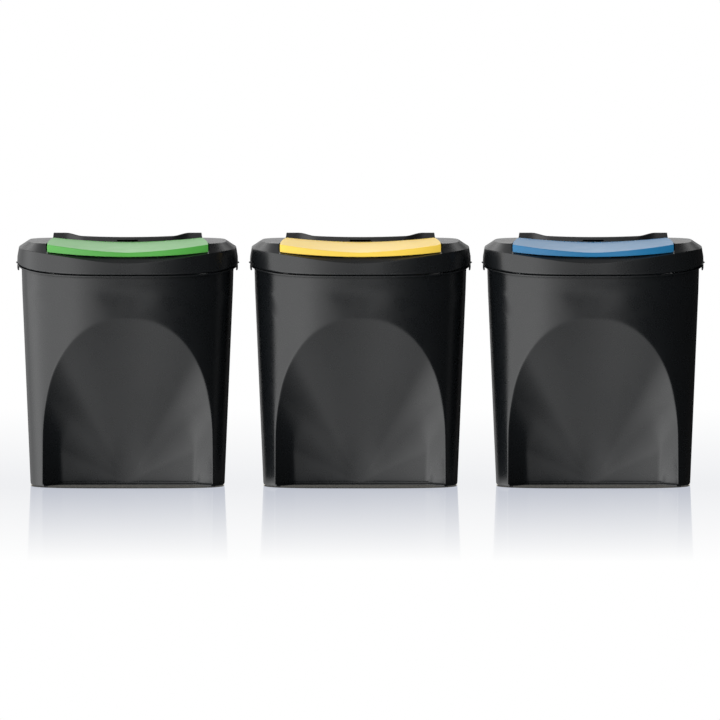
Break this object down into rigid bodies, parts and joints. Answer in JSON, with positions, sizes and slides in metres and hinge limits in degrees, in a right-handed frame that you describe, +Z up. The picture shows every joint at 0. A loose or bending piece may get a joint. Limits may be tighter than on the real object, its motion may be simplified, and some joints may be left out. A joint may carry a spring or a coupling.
{
  "type": "recycling bin station",
  "caption": "Row of plastic sorting bins with a scooped arch in the front, dished lids and hinged flaps in different colours, one colour for each kind of waste.",
  "frame": {"origin": "on the floor, in the middle of the station's footprint", "axes": "+X along the row towards the right-hand bin, -Y to the front (flaps and arches), +Z up"},
  "size_m": [1.208, 0.2935, 0.443],
  "materials": {
    "tub_plastic": "fine satin grain, anthracite",
    "lid_plastic": "fine satin grain, anthracite",
    "left_flap_plastic": "satin, green",
    "middle_flap_plastic": "satin, yellow",
    "right_flap_plastic": "satin, blue",
    "pin_plastic": "smooth moulded, black",
    "foot_rubber": "matt, black"
  },
  "bodies": {
    "left_bin": {"left_tub": "tub_plastic", "left_foot_front_left": "foot_rubber", "left_foot_front_right": "foot_rubber", "left_foot_rear_left": "foot_rubber", "left_foot_rear_right": "foot_rubber"},
    "left_lid": {"left_lid": "lid_plastic"},
    "left_flap": {"left_flap": "left_flap_plastic", "left_hinge_pin_left": "pin_plastic", "left_hinge_pin_right": "pin_plastic"},
    "middle_bin": {"middle_tub": "tub_plastic", "middle_foot_front_left": "foot_rubber", "middle_foot_front_right": "foot_rubber", "middle_foot_rear_left": "foot_rubber", "middle_foot_rear_right": "foot_rubber"},
    "middle_lid": {"middle_lid": "lid_plastic"},
    "middle_flap": {"middle_flap": "middle_flap_plastic", "middle_hinge_pin_left": "pin_plastic", "middle_hinge_pin_right": "pin_plastic"},
    "right_bin": {"right_tub": "tub_plastic", "right_foot_front_left": "foot_rubber", "right_foot_front_right": "foot_rubber", "right_foot_rear_left": "foot_rubber", "right_foot_rear_right": "foot_rubber"},
    "right_lid": {"right_lid": "lid_plastic"},
    "right_flap": {"right_flap": "right_flap_plastic", "right_hinge_pin_left": "pin_plastic", "right_hinge_pin_right": "pin_plastic"}
  },
  "joints": [
    {"name": "left_bin_lift", "type": "slide", "parent": "middle_bin", "child": "left_bin", "axis": [0, 0, 1], "range_m": [0, 0.5]},
    {"name": "left_lid_lift", "type": "slide", "parent": "left_bin", "child": "left_lid", "axis": [0, 0, 1], "range_m": [0, 0.2]},
    {"name": "left_flap_hinge", "type": "hinge", "parent": "left_lid", "child": "left_flap", "pos_m": [-0.408, -0.021, 0.424], "axis": [-1, 0, 0], "range_deg": [0, 85]},
    {"name": "middle_lid_lift", "type": "slide", "parent": "middle_bin", "child": "middle_lid", "axis": [0, 0, 1], "range_m": [0, 0.2]},
    {"name": "middle_flap_hinge", "type": "hinge", "parent": "middle_lid", "child": "middle_flap", "pos_m": [0, -0.021, 0.424], "axis": [-1, 0, 0], "range_deg": [0, 85]},
    {"name": "right_bin_lift", "type": "slide", "parent": "middle_bin", "child": "right_bin", "axis": [0, 0, 1], "range_m": [0, 0.5]},
    {"name": "right_lid_lift", "type": "slide", "parent": "right_bin", "child": "right_lid", "axis": [0, 0, 1], "range_m": [0, 0.2]},
    {"name": "right_flap_hinge", "type": "hinge", "parent": "right_lid", "child": "right_flap", "pos_m": [0.408, -0.021, 0.424], "axis": [-1, 0, 0], "range_deg": [0, 85]}
  ]
}
